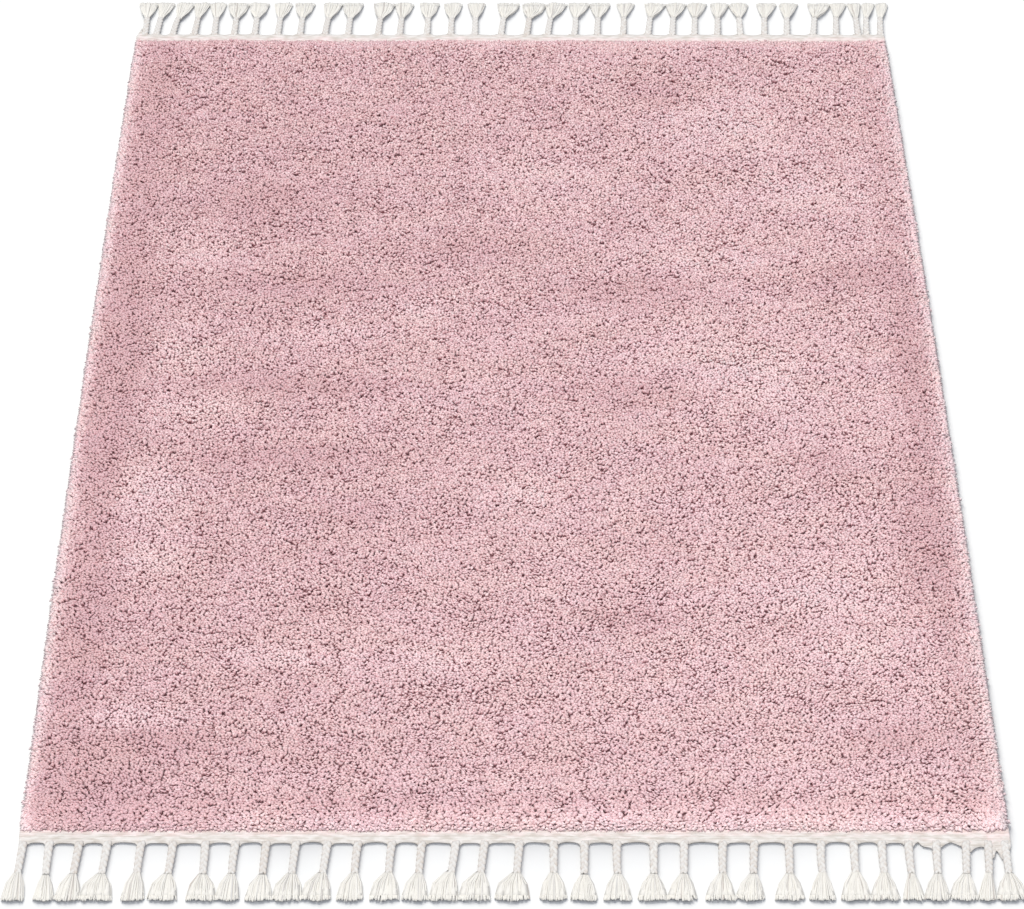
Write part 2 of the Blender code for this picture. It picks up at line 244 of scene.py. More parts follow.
class Nodes:
    """A material under construction."""

    def __init__(self, name, roughness, sheen, sheen_tint, specular):
        self.material = bpy.data.materials.new(name)
        self.material.use_nodes = True
        self.tree = self.material.node_tree
        self.shader = self.tree.nodes["Principled BSDF"]
        self.shader.inputs["Roughness"].default_value = roughness
        self.shader.inputs["Sheen Weight"].default_value = sheen
        self.shader.inputs["Sheen Roughness"].default_value = 0.5
        self.shader.inputs["Sheen Tint"].default_value = (*sheen_tint, 1)
        self.shader.inputs["Specular IOR Level"].default_value = specular

    def add(self, kind, **values):
        node = self.tree.nodes.new(kind)
        for key, value in values.items():
            setattr(node, key, value)
        return node

    def link(self, source, target):
        self.tree.links.new(source, target)

    def feed(self, value, socket):
        """Links another node's output, or sets a plain value."""
        if hasattr(value, "links"):
            self.link(value, socket)
        else:
            socket.default_value = value

    def attribute(self, name):
        return self.add("ShaderNodeAttribute", attribute_name=name).outputs["Fac"]

    def place(self, scale):
        """Where a point lies, in metres times scale."""
        coordinates = self.add("ShaderNodeTexCoord")
        mapping = self.add("ShaderNodeMapping")
        mapping.inputs["Scale"].default_value = scale
        self.link(coordinates.outputs["Object"], mapping.inputs["Vector"])
        return mapping.outputs["Vector"]

    def noise(self, scale, detail, stretch=(1, 1, 1)):
        node = self.add("ShaderNodeTexNoise")
        node.inputs["Scale"].default_value = scale
        node.inputs["Detail"].default_value = detail
        self.link(self.place(stretch), node.inputs["Vector"])
        return node.outputs["Fac"]

    def ramp(self, source, *stops):
        """stops are (place, value), where a value is a grey or a colour."""
        node = self.add("ShaderNodeValToRGB")
        elements = node.color_ramp.elements
        while len(elements) < len(stops):
            elements.new(0.5)
        for element, (place, value) in zip(elements, stops):
            element.position = place
            element.color = (*value, 1) if hasattr(value, "__len__") else (value, value, value, 1)
        self.link(source, node.inputs["Fac"])
        return node.outputs["Color"]

    def mix(self, kind, factor, a, b):
        node = self.add("ShaderNodeMix", data_type="RGBA", blend_type=kind)
        self.feed(factor, node.inputs["Factor"])
        for value, socket in ((a, node.inputs["A"]), (b, node.inputs["B"])):
            self.feed(value if hasattr(value, "links") else (*value, 1), socket)
        return node.outputs["Result"]

    def times(self, a, b):
        return self.mix("MULTIPLY", 1.0, a, b)

    def maths(self, operation, a, b):
        node = self.add("ShaderNodeMath", operation=operation)
        self.feed(a, node.inputs[0])
        self.feed(b, node.inputs[1])
        return node.outputs["Value"]

    def colour(self, source):
        self.link(source, self.shader.inputs["Base Color"])

    def lay(self, pitch):
        """Slanting lines round a yarn, pitch mm apart along it, from 0 to 1."""
        node = self.add("ShaderNodeUVMap", uv_map="lay")
        parts = self.add("ShaderNodeSeparateXYZ")
        self.link(node.outputs["UV"], parts.inputs["Vector"])
        turns = self.maths("ADD", self.maths("DIVIDE", parts.outputs["Y"], pitch), parts.outputs["X"])
        wave = self.maths("SINE", self.maths("MULTIPLY", turns, TURN), 0.0)
        return self.maths("ADD", self.maths("MULTIPLY", wave, 0.5), 0.5)

    def bump(self, height, distance, strength):
        node = self.add("ShaderNodeBump")
        node.inputs["Distance"].default_value = distance
        node.inputs["Strength"].default_value = strength
        self.link(height, node.inputs["Height"])
        self.link(node.outputs["Normal"], self.shader.inputs["Normal"])


def pile_material():
    n = Nodes("pile_yarn", roughness=0.7, sheen=0.3, sheen_tint=(1.0, 0.86, 0.88), specular=0.25)
    # Painted shade down each tuft: darker toward its root, where the depth of the pile lies in shade. tip is 1
    # at the cut end.
    along = n.ramp(
        n.attribute("tip"),
        (0.0, (0.42, 0.205, 0.23)),
        (0.74, (0.59, 0.335, 0.36)),
        (0.93, (0.835, 0.60, 0.615)),
        (1.0, (0.875, 0.65, 0.665)),
    )
    warmth = n.ramp(n.attribute("hue"), (0.2, (0.995, 0.988, 1.01)), (0.8, (1.005, 1.01, 0.988)))
    # The dye, lighter or darker by tone. Tone also carries painted light and shade: broad patches where the
    # pile lies different ways, darker sloping edges and a lighter front edge.
    dye_and_shade = n.ramp(
        n.attribute("tone"),
        (0.0, (0.84, 0.75, 0.77)),
        (0.31, (0.97, 0.95, 0.96)),
        (0.62, (1.06, 1.11, 1.11)),
        (1.0, (0.84, 0.97, 0.965)),
    )
    fibre = n.noise(640.0, 1.5, stretch=(0.8, 1.2, 1.2))
    dyed_and_shaded = n.times(n.times(along, warmth), dye_and_shade)
    n.colour(n.times(dyed_and_shaded, n.ramp(fibre, (0.34, 0.66), (0.48, 1.0), (0.68, 1.08))))
    n.bump(fibre, 0.4 * MM, 0.8)
    return n.material


def slab_material():
    n = Nodes("pile_depth_shade", roughness=0.9, sheen=0.2, sheen_tint=(1.0, 0.85, 0.87), specular=0.2)
    cells = n.add("ShaderNodeTexVoronoi", feature="DISTANCE_TO_EDGE")
    cells.inputs["Scale"].default_value = 330.0
    n.link(n.place((0.8, 1.2, 0.6)), cells.inputs["Vector"])
    knots = cells.outputs["Distance"]
    # Painted shade of the pile's depth: dark at the edges of yarn-like cells, darker where the pile is deep,
    # lighter near its rim
    deep_shade = n.ramp(knots, (0.0, (0.24, 0.09, 0.11)), (0.14, (0.46, 0.25, 0.27)), (0.36, (0.70, 0.46, 0.48)))
    shallow_shade = n.ramp(knots, (0.0, (0.78, 0.54, 0.56)), (0.14, (0.88, 0.68, 0.70)), (0.36, (0.93, 0.76, 0.77)))
    n.colour(n.mix("MIX", n.attribute("rim"), deep_shade, shallow_shade))
    n.bump(knots, 3 * MM, 0.8)
    return n.material


# ---- The pile

BACK_DIP, BACK_DIP_WIDTH = 5 * MM, 26 * MM  # how much lower the pile lies along its back edge, and how far in


def side_distance(x):
    return PILE_HALF_X - np.abs(x)


def front_distance(y):
    return PILE_HALF_Y + y


def rim_distance(x, y):
    return np.minimum(side_distance(x), PILE_HALF_Y - np.abs(y))


def bowed(x, y):
    return x * (1 + SIDE_BOW / (RUG_WIDTH / 2) * (1 - (y / (RUG_LENGTH / 2)) ** 2))


def pile_top(x, y):
    """The height of the pile's top, lumps included."""
    inset = rim_distance(x, y)
    lumps = LUMP_HEIGHT * field(x, y, LUMP_ACROSS, LUMP_ALONG, NOISE_LAYER)
    lumps += TUFT_HEIGHT * field(x, y, TUFT_SIZE, TUFT_SIZE, NOISE_LAYER)
    trodden = BACK_DIP * fade(PILE_HALF_Y - y, BACK_DIP_WIDTH)
    height, share = np.interp(inset, RIM_INSETS, RIM_HEIGHTS), np.interp(inset, RIM_INSETS, RIM_LUMPS)
    return height + share * lumps - trodden


# Broad places where the pile is painted lighter or darker, as painted light and shade of the pile lying
# different ways, m from the middle
PATCH_COLUMNS = ("x", "y", "half_x", "half_y", "lift")
LIGHT_AND_SHADE_PATCHES = (
    (-0.46, 0.27, 0.06, 0.05, 0.44), (-0.47, 0.04, 0.05, 0.05, 0.44), (-0.44, -0.08, 0.07, 0.03, 0.52),
    (-0.49, -0.25, 0.06, 0.06, 0.60), (-0.48, -0.38, 0.05, 0.04, 0.52), (0.05, 0.45, 0.07, 0.05, 0.40),
    (0.32, 0.57, 0.10, 0.08, 0.44), (0.43, 0.41, 0.09, 0.06, 0.34), (0.27, 0.25, 0.09, 0.04, 0.28),
    (-0.13, 0.13, 0.05, 0.03, 0.40), (-0.28, 0.08, 0.10, 0.02, 0.28), (0.33, 0.00, 0.09, 0.08, 0.44),
    (0.02, -0.26, 0.05, 0.04, 0.34), (0.40, -0.44, 0.09, 0.04, 0.44), (0.43, -0.55, 0.07, 0.03, 0.40),
    (-0.31, -0.56, 0.07, 0.02, 0.46), (-0.09, -0.57, 0.08, 0.03, 0.34), (-0.48, -0.67, 0.08, 0.02, 0.44),
    (-0.38, 0.39, 0.08, 0.05, -0.68), (-0.55, 0.62, 0.03, 0.12, -0.28), (0.23, 0.66, 0.05, 0.04, -0.64),
    (-0.05, 0.27, 0.09, 0.04, -0.44), (0.18, 0.18, 0.11, 0.04, -0.50), (0.50, 0.21, 0.08, 0.04, -0.64),
    (-0.31, -0.03, 0.14, 0.025, -0.54), (0.18, -0.05, 0.10, 0.035, -0.44), (-0.30, -0.18, 0.14, 0.025, -0.58),
    (0.17, -0.35, 0.08, 0.04, -0.18), (0.42, -0.20, 0.05, 0.04, -0.40), (0.15, -0.49, 0.08, 0.025, -0.40),
    (-0.54, -0.50, 0.03, 0.12, -0.32), (-0.45, -0.71, 0.08, 0.025, -0.64), (-0.52, -0.79, 0.08, 0.04, -0.58),
    (0.47, -0.70, 0.06, 0.03, -0.52), (-0.30, 0.19, 0.12, 0.03, -0.44), (-0.55, 0.06, 0.035, 0.16, -0.58),
    (-0.56, -0.15, 0.03, 0.07, -0.52), (0.54, -0.33, 0.04, 0.16, -0.52), (0.56, 0.02, 0.03, 0.14, -0.52),
    (-0.21, -0.29, 0.07, 0.03, -0.36),
)
# Darker, redder bands along the edges: how far in, half their width, and how strong. Along the long edges they
# are painted shade on the pile's slopes.
LEFT_SLOPE_SHADE = (42 * MM, 26 * MM, 0.44)
RIGHT_SLOPE_SHADE = (38 * MM, 18 * MM, 0.22)
FRONT_RED = ((100 * MM, 50 * MM, 0.08), (25 * MM, 15 * MM, 0.27))
SIDE_SHADE_START = 20 * MM  # from the front edge
TONE_MIDDLE = 0.48
TONE_TOP = 1.6
COMBED_PALE = 8.5 * MM  # how far in the long edges are at their palest


def patch_light_and_shade(x, y):
    tone = np.zeros_like(x)
    for row in LIGHT_AND_SHADE_PATCHES:
        patch = dict(zip(PATCH_COLUMNS, row))
        far = ((x - patch["x"]) / patch["half_x"]) ** 2 + ((y - patch["y"]) / patch["half_y"]) ** 2
        tone += patch["lift"] * np.exp(-far)
    return tone


def darker_band(distance, band):
    inset, width, strength = band
    return strength * fade(distance - inset, width)


def tone_at(x, y):
    """How light the pile's yarn colour is, from 0 to about 1.6, before each tuft's own chance. It carries
    painted light and shade: broad patches, darker sloping edges and a lighter front edge.
    """
    side, front = side_distance(x), front_distance(y)
    tone = TONE_MIDDLE + patch_light_and_shade(x, y) + 0.12 * field(x, y, 0.10, 0.05, 2.2)
    # Painted shade on the pile's sloping long edges, from a little way behind the front edge
    side_slope_shade = np.where(x < 0, darker_band(side, LEFT_SLOPE_SHADE), darker_band(side, RIGHT_SLOPE_SHADE))
    tone -= side_slope_shade * (front > SIDE_SHADE_START)
    for band in FRONT_RED:
        tone -= darker_band(front, band)
    # Paler just before the front strip, less so at its left end: painted light that lifts the shade of the
    # front rows.
    tone += (0.04 + 0.24 * np.clip((x + 0.45) / 0.3, 0, 1)) * np.exp(-front / (9 * MM))
    tone += np.where(x < 0, 1.3, 0.9) * fade(side, COMBED_PALE)
    # Darker toward the left and the back
    return tone - 0.26 * np.clip((0.25 - x) / 0.85, 0, 1) - 0.06 * y / PILE_HALF_Y


def spread_tone(tone):
    """As the material reads it, where 1 is the palest grey pink of the combed edges."""
    return np.clip(tone / TONE_TOP, 0, 1)


def hue_at(x, y):
    return 0.5 + 0.5 * field(x, y, 0.06, 0.035, 12.4)


def creases(x, y):
    """1 along thin broken lines, mostly across the rug, where lumps of pile meet."""
    level = field(x, y, 42 * MM, 17 * MM, 4.4) + 0.35 * field(x, y, 17 * MM, 9 * MM, 6.6)
    line = np.clip(1.5 - np.abs(level) / 0.045, 0, 1)
    kept = np.clip((field(x, y, 48 * MM, 30 * MM, 9.2) + 0.02) / 0.08, 0, 1)
    return line * kept


TUFT_ACROSS, TUFT_ALONG = 3.40 * MM, 2.97 * MM  # from root to root
TUFT_JITTER = 0.36
TUFT_SEED = 5
TUFT_RADIUS = 2.9 * MM
TUFT_FLAT = 0.38  # a cut tip's depth over its width
TUFT_DEPTH = 11 * MM  # from tip to root
TUFT_VERTICES = 4
TIP_TILT = 0.5 * MM
LOWEST_TIP = 3.4 * MM
LOWEST_ROOT = 1 * MM
LOWEST_POINT = 0.5 * MM
CREASE_DEPTH = 3.5 * MM
PILE_PIECES = 5
SIDE_LEAN, END_LEAN = 14 * MM, 7 * MM  # how far in the tufts still lean outward
CORNER_LEAN = 50 * MM
OUTWARD = 2.5  # how strong that lean is, beside each tuft's own
COMBED_WIDTH = 13 * MM
CORNER_SIZE = 60 * MM
COMBED_REACH = 3.0 * MM  # how much longer the combed tufts are
FRONT_REACH = 0.8 * MM
FRONT_WIDTH = 0.16  # how far in from the front edge the tufts are a little longer, and have less painted shade in their depth
FRONT_EVEN = 38 * MM  # and stay nearly level
FRONT_PALE = 24 * MM  # and have the least painted shade in their depth
FRONT_SLOPE = 22 * MM  # and are thicker


def tuft_roots(chance):
    """An uneven grid of roots over the whole pile, closer together on the slopes at its edges."""
    columns = round(2 * PILE_HALF_X / TUFT_ACROSS)
    rows = round(2 * PILE_HALF_Y / TUFT_ALONG)
    i, j = np.meshgrid(np.arange(columns), np.arange(rows))
    x = (i.ravel() + 0.25 + 0.5 * (j.ravel() % 2)) / columns
    y = (j.ravel() + 0.5) / rows
    x = x + chance.uniform(-TUFT_JITTER, TUFT_JITTER, x.size) / columns
    y = y + chance.uniform(-TUFT_JITTER, TUFT_JITTER, y.size) / rows
    x, y = np.clip(x, 0, 1) * 2 - 1, np.clip(y, 0, 1) * 2 - 1
    x = x * (1 + 0.010 * (1 - np.abs(x) ** 18))
    y = y * (1 + 0.020 * (1 - np.abs(y) ** 20))
    return x * PILE_HALF_X, y * PILE_HALF_Y


def build_tufts(material):
    """The field of cut yarns. Each widens from its root to a slightly tilted tip."""
    chance = np.random.default_rng(TUFT_SEED)
    x, y = tuft_roots(chance)
    count = x.size
    inset, side, front = rim_distance(x, y), side_distance(x), front_distance(y)
    away = front / (2 * PILE_HALF_Y)  # 0 at the front, 1 at the back
    # Which way each tuft leans: a patchy drift, chance, and outward near the rim
    heading = 3.2 * field(x, y, 0.07, 0.035, 8.1) + 1.2 * field(x, y, 0.02, 0.014, 5.3)
    heading = heading * math.pi + chance.normal(0, 0.7, count)
    lean = np.stack([np.cos(heading), 0.5 * np.sin(heading)], 1)
    outward_x = np.sign(x) * np.exp(-side / SIDE_LEAN)
    outward_y = np.sign(y) * np.exp(-(PILE_HALF_Y - np.abs(y)) / END_LEAN)
    at_corner = np.exp(-(side + front) / CORNER_LEAN)
    lean = lean + OUTWARD * np.stack([outward_x, outward_y], 1)
    lean = lean + OUTWARD * at_corner[:, None] * np.stack([np.sign(x), -0.5 * np.ones(count)], 1)
    lean = np.concatenate([unit(lean), np.zeros((count, 1))], 1)
    # Combed outward and longer along the two long edges, and most at the front's right corner
    combed = fade(side, COMBED_WIDTH)
    corner = np.exp(-(((PILE_HALF_X - x) / CORNER_SIZE) ** 2) - (front / CORNER_SIZE) ** 2)
    swept = np.clip(combed + corner, 0, 1)
    reach = chance.uniform(1.5, 6.0, count) * MM
    reach += COMBED_REACH * swept + FRONT_REACH * fade(front, FRONT_WIDTH)
    # How high each tip stands: less even toward the back, with some sunk ones and creases
    drop = (chance.normal(0, 1, count) * (0.35 + 0.85 * away) - 0.2) * MM
    sunk = chance.uniform(0, 1, count) < 0.012 + 0.09 * away
    drop[sunk] -= chance.uniform(1.5, 4.5, sunk.sum()) * (0.6 + 0.4 * away[sunk]) * MM
    near_rim = np.exp(-inset / (6 * MM))
    near_front = fade(front, FRONT_EVEN)
    crease = CREASE_DEPTH * (0.35 + 1.1 * away) * creases(x, y) * (1 - near_front)
    top = pile_top(x, y)
    top = top - crease * (1 - near_rim) + drop * (1 - 0.6 * near_rim) * (1 - 0.5 * near_front)
    top = np.maximum(top, LOWEST_TIP)
    back = (reach * 0.5 * (1 - np.exp(-inset / (10 * MM))))[:, None] * lean[:, :2]
    low = np.maximum(top - TUFT_DEPTH, LOWEST_ROOT)
    root = np.concatenate([np.stack([x, y], 1) - back, low[:, None]], 1)
    tip = root + lean * reach[:, None]
    tip[:, 2] = top
    paths = np.stack([root, tip], 1)
    paths[..., 0] = bowed(paths[..., 0], paths[..., 1])
    # The tips are broader across the rug than along it, along slowly turning lines
    turn = 0.5 * field(x, y, 0.05, 0.03, 14.2) + chance.normal(0, 0.25, count)
    across = np.stack([np.cos(turn), np.sin(turn), np.zeros(count)], 1)
    across = across * (1 - swept[:, None]) + lean * np.sign(lean[:, :1]) * swept[:, None]
    slope = fade(front, FRONT_SLOPE)
    flat = TUFT_FLAT * (1 - 0.3 * swept) + 0.26 * slope
    thick = TUFT_RADIUS * chance.uniform(0.85, 1.15, count) * (1 + 0.25 * swept + 0.38 * slope)
    radii = thick[:, None] * np.array([0.0, 1.0])[None]
    # How much of the painted shade toward the root is lifted, so that the tip's colour reaches further down
    pale = np.maximum(0.92 * fade(front, FRONT_PALE), 0.3 * fade(front, FRONT_WIDTH))
    pale = np.maximum(0.6 * swept, pale)
    tone = tone_at(x, y) + chance.normal(0, 1, count) * (0.20 + 0.16 * away) + 0.12 * corner
    tone = spread_tone(tone)
    hue = hue_at(x, y) + chance.normal(0, 0.12, count)
    roll = chance.uniform(0, TURN, count)
    tilt = chance.normal(0, TIP_TILT, (count, TUFT_VERTICES - 1))
    band = np.minimum(away * PILE_PIECES, PILE_PIECES - 1e-6).astype(int)
    for number in range(PILE_PIECES):
        mine = band == number
        points, faces, shares, places = strands(
            paths[mine], across[mine], radii[mine], 3, flat[mine], roll[mine], blunt=True
        )
        points.reshape(-1, TUFT_VERTICES, 3)[:, 1:, 2] += tilt[mine]
        points[:, 2] = np.maximum(points[:, 2], LOWEST_POINT)
        # tip sets the painted shade down each tuft, darker toward its root
        piece = make_piece(
            f"pile_tufts_{number + 1}", points, faces, material, "pile", "pile_yarn", places,
            tip=1 - (1 - shares) * per_vertex(1 - pale[mine], points),
            tone=per_vertex(tone[mine], points), hue=per_vertex(hue[mine], points),
        )


LOCK_RADIUS = 2.3 * MM
LOCK_SPACING = 3.2 * MM
SIDE_LOCKS, SIDE_LOCK_ROW = 4, 3.0 * MM  # rows of longer tufts over each long edge, and their spacing
END_LOCKS, END_LOCK_ROW = 3, 2.6 * MM  # and over each hem strip
FIRST_LOCK_ROW = 0.5 * MM
SIDE_LOCK_TOP, FRONT_LOCK_TOP, BACK_LOCK_TOP = 7.6 * MM, 5.3 * MM, 4.6 * MM
SIDE_LOCK_THICK = 0.62
BACK_LOCK_REACH = 0.1
RIGHT_DRAW = 3 * MM  # how much less of the front strip is covered at its right end


def build_locks(material):
    """Longer yarns along the four edges, in rows, that hang over the bindings and the hem strips."""
    chance = np.random.default_rng(TUFT_SEED + 1)
    xs, ys, leans = [], [], []
    for side in (-1, 1):
        for row in range(SIDE_LOCKS):
            count = round(2 * PILE_HALF_Y / LOCK_SPACING)
            ys.append(chance.uniform(-1, 1, count) * PILE_HALF_Y)
            xs.append(np.full(count, side * (PILE_HALF_X - (FIRST_LOCK_ROW + SIDE_LOCK_ROW * row))))
            leans.append(np.tile([side, 0.0], (count, 1)))
        for row in range(END_LOCKS):
            count = round(2 * PILE_HALF_X / LOCK_SPACING)
            xs.append(chance.uniform(-1, 1, count) * PILE_HALF_X)
            ys.append(np.full(count, side * (PILE_HALF_Y - (FIRST_LOCK_ROW + END_LOCK_ROW * row))))
            leans.append(np.tile([0.0, side], (count, 1)))
    x, y, lean = np.concatenate(xs), np.concatenate(ys), np.concatenate(leans)
    count = x.size
    on_side = np.abs(lean[:, 0]) > 0.5
    lean = unit(lean + chance.normal(0, 0.12, (count, 2)))
    lean = np.concatenate([lean, np.zeros((count, 1))], 1)
    across = np.stack([-lean[:, 1], lean[:, 0], np.zeros(count)], 1)
    reach = (chance.uniform(3.8, 8.8, count) + 1.6 * field(x, y, 0.02, 0.5, 1.7)) * MM
    to_edge = side_distance(x) + (BINDING_WIDTH + GAP) + chance.normal(0.2, 0.5, count) * MM
    reach = np.where(y > PILE_HALF_Y - 10 * MM, BACK_LOCK_REACH * reach, reach)
    reach = reach - RIGHT_DRAW * np.interp(x, (0.42, 0.56), (0, 1))
    reach = np.where(on_side, to_edge, reach)
    top = np.where(on_side, SIDE_LOCK_TOP, np.where(y > 0, BACK_LOCK_TOP, FRONT_LOCK_TOP))
    top = top + chance.uniform(-1.0, 2.0, count) * MM
    root = np.stack([x, y, np.maximum(top - TUFT_DEPTH, LOWEST_ROOT)], 1)
    middle, tip = root + 0.55 * lean * reach[:, None], root + lean * reach[:, None]
    middle[:, 2] = np.maximum(top - 0.9 * MM, LOWEST_TIP)
    tip[:, 2] = np.maximum(top - 2.2 * MM, LOWEST_TIP)
    paths = np.stack([root, middle, tip], 1)
    paths[..., 0] = bowed(paths[..., 0], paths[..., 1])
    thick = LOCK_RADIUS * chance.uniform(0.85, 1.15, count) * np.where(on_side, SIDE_LOCK_THICK, 1.0)
    radii = thick[:, None] * np.array([0.0, 1.0, 0.0])[None]
    tone = spread_tone(tone_at(x, y) + np.where(on_side, 0.0, 0.28) + chance.normal(0, 0.2, count))
    hue = hue_at(x, y) + chance.normal(0, 0.12, count)
    points, faces, shares, places = strands(paths, across, radii, 3, 1.0, chance.uniform(0, TURN, count))
    # Their roots get little of the painted shade toward the root
    piece = make_piece(
        "pile_edge_locks", points, faces, material, "pile", "pile_yarn", places,
        tip=1 - 0.2 * (1 - shares), tone=per_vertex(tone, points), hue=per_vertex(hue, points),
    )


SLAB_DEPTH = 7.5 * MM  # the slab's top lies this far below the tufts' tips
SLAB_LOWEST = 1.5 * MM
SLAB_INSET = 0.5 * MM
SLAB_COLUMNS, SLAB_ROWS = 72, 110
PALE_RIM = 14 * MM  # how far in the slab's painted shade is lighter
PALE_FRONT = 0.2


def build_slab(material):
    """What shows between the tufts: the pile's depth, coloured with its painted shade, closed, flat under."""
    columns, rows = SLAB_COLUMNS, SLAB_ROWS
    u, v = np.meshgrid(np.linspace(-1, 1, columns + 1), np.linspace(-1, 1, rows + 1))
    u, v = (w * (1 + 0.05 * (1 - w**2)) for w in (u, v))
    x = u.ravel() * (PILE_HALF_X - SLAB_INSET)
    y = v.ravel() * (PILE_HALF_Y - SLAB_INSET)
    z = np.maximum(pile_top(x, y) - SLAB_DEPTH, SLAB_LOWEST)
    x = bowed(x, y)
    upper = np.stack([x, y, z], 1)
    i, j = np.meshgrid(np.arange(columns), np.arange(rows))
    a = (j * (columns + 1) + i).ravel()
    top = np.stack([a, a + 1, a + columns + 2, a + columns + 1], 1)
    edge = list(range(columns))
    edge += [columns + k * (columns + 1) for k in range(rows)]
    edge += [rows * (columns + 1) + columns - k for k in range(columns)]
    edge += [(rows - k) * (columns + 1) for k in range(rows)]
    lower = upper[edge] * np.array([1, 1, 0])
    shift = len(upper)
    under = list(range(shift, shift + len(edge)))
    wall = [
        (edge[(k + 1) % len(edge)], edge[k], under[k], under[(k + 1) % len(edge)]) for k in range(len(edge))
    ]
    faces = top.tolist() + wall + [under[::-1]]
    # Lighter painted shade near the rim, and a little lighter toward the front
    rim = np.exp(-rim_distance(upper[:, 0], upper[:, 1]).clip(0) / PALE_RIM)
    rim = np.maximum(rim, 0.35 * fade(front_distance(upper[:, 1]), PALE_FRONT))
    rim = np.concatenate([rim, np.ones(len(lower))])
    points = np.concatenate([upper, lower])
    return make_piece("pile_slab", points, faces, material, "pile", "pile_yarn", rim=rim)


pile_yarn = pile_material()
build_tufts(pile_yarn)
build_locks(pile_yarn)
slab = build_slab(slab_material())

# ---- The fringe


def fringe_material():
    n = Nodes("fringe_yarn", roughness=0.85, sheen=0.25, sheen_tint=(1.0, 0.98, 0.94), specular=0.25)
    shade = n.ramp(
        n.attribute("tone"),
        (0.0, (0.56, 0.50, 0.45)),
        (0.3, (0.67, 0.655, 0.635)),
        (0.6, (0.78, 0.755, 0.70)),
        (1.0, (0.82, 0.80, 0.755)),
    )
    lines = n.lay(2.2)
    fuzz = n.noise(1400.0, 2.0)
    lit = n.times(shade, n.ramp(lines, (0.0, 0.98), (0.5, 1.0)))
    n.colour(n.times(lit, n.ramp(fuzz, (0.3, 0.95), (0.6, 1.0))))
    n.bump(n.maths("ADD", lines, fuzz), 0.2 * MM, 0.5)
    return n.material


def hem_material():
    n = Nodes("hem_weave", roughness=0.9, sheen=0.2, sheen_tint=(1.0, 0.98, 0.95), specular=0.2)
    near = n.attribute("near")  # 1 at the pile, 0 at the outer edge
    streak = n.noise(300.0, 4.0, stretch=(0.22, 0.75, 1.0))
    weft = n.add("ShaderNodeTexWave", wave_type="BANDS", bands_direction="Y")
    weft.inputs["Scale"].default_value = 85.0
    weft.inputs["Distortion"].default_value = 4.0
    weft.inputs["Detail Scale"].default_value = 3.0
    n.link(n.place((0.15, 1, 1)), weft.inputs["Vector"])
    fuzz = n.noise(130.0, 4.0, stretch=(0.4, 1.2, 1.0))
    # Pink fuzz from the pile toward the inner edge, also made lighter there as painted light against the shade
    # under the edge locks
    frayed = n.maths("ADD", near, n.maths("MULTIPLY", n.maths("SUBTRACT", fuzz, 0.5), 1.3))
    pink = n.ramp(frayed, (0.34, 0.03), (0.95, 0.95))
    cream = n.mix("MIX", pink, (0.665, 0.640, 0.615), (0.785, 0.66, 0.655))
    felted = n.times(cream, n.ramp(streak, (0.36, (0.80, 0.77, 0.73)), (0.62, 1.04)))
    n.colour(n.times(felted, n.ramp(weft.outputs["Fac"], (0.0, 0.93), (0.6, 1.02))))
    n.bump(n.maths("ADD", weft.outputs["Fac"], streak), 0.4 * MM, 0.5)
    return n.material


def tassels_of(rows):
    """The tassels in metres, each trimmed to stand clear of the one before."""
    tassels = []
    for row in rows:
        sizes = dict(zip(TASSEL_COLUMNS, row))
        root = sizes["root"] * MM
        left = root + sizes["left"] * MM
        right = root + sizes["right"] * MM
        if tassels:
            left = max(left, tassels[-1]["right"] + TASSEL_GAP)
        lean = (left + right) / 2 - root
        tassels.append({"root": root, "neck": root + NECK_SHARE * lean, "left": left, "right": right})
    return tassels


PLAIT_CYCLES = 2.1
PLAIT_STATIONS = 20
PLAIT_SIDES = 6
PLAIT_RADIUS = 2.75 * MM
PLAIT_NARROWS = 0.86
PLAIT_OUTSET = 0.8 * MM
PLAIT_WEAVE = 0.6 * MM  # how far each group rises and sinks
PLAIT_FLAT = 0.80
PLAIT_SHADE = 0.11
PLAIT_TONE = 0.19
SKIRT_YARNS = 38
SKIRT_SHARES = (0.0, 0.16, 0.47, 0.96, 1.0)
SKIRT_RADIUS = 1.0 * MM
SKIRT_PROFILE = (0.0, 0.75, 1.0, 1.0, 0.9)
SKIRT_START = 4  # mm before the braid's end
SKIRT_FLAT = 0.95
SKIRT_TONE = 0.76
BELL_SHARES = (0, 0.16, 0.42, 0.72, 1)
BELL_HEIGHTS = (2.6 * MM, 5.4 * MM, 5.2 * MM, 4.3 * MM, 3.4 * MM)
TIP_SPREAD = 2 * MM
TIP_SPILL = 0.8 * MM  # how far the loose yarns lie past each side of the solid tassel
# How soon the bells swell below the neck, at the left and at the right of each end, and where that changes
FRONT_BULGE, FRONT_CHANGE = (2.1, 1.45), (0.03, 0.09)
BACK_BULGE, BACK_CHANGE = (1.5, 1.15), (-0.05, 0.10)
BACK_EARLY = (3.0, 0.0)  # mm that the back's bells start sooner
HEART_LOCKS = 4
HEART_STATIONS = 5
HEART_SIDES = 5
HEART_FLAT = 0.40
HEART_TONE = 0.5
FRINGE_ROLL = 0.3


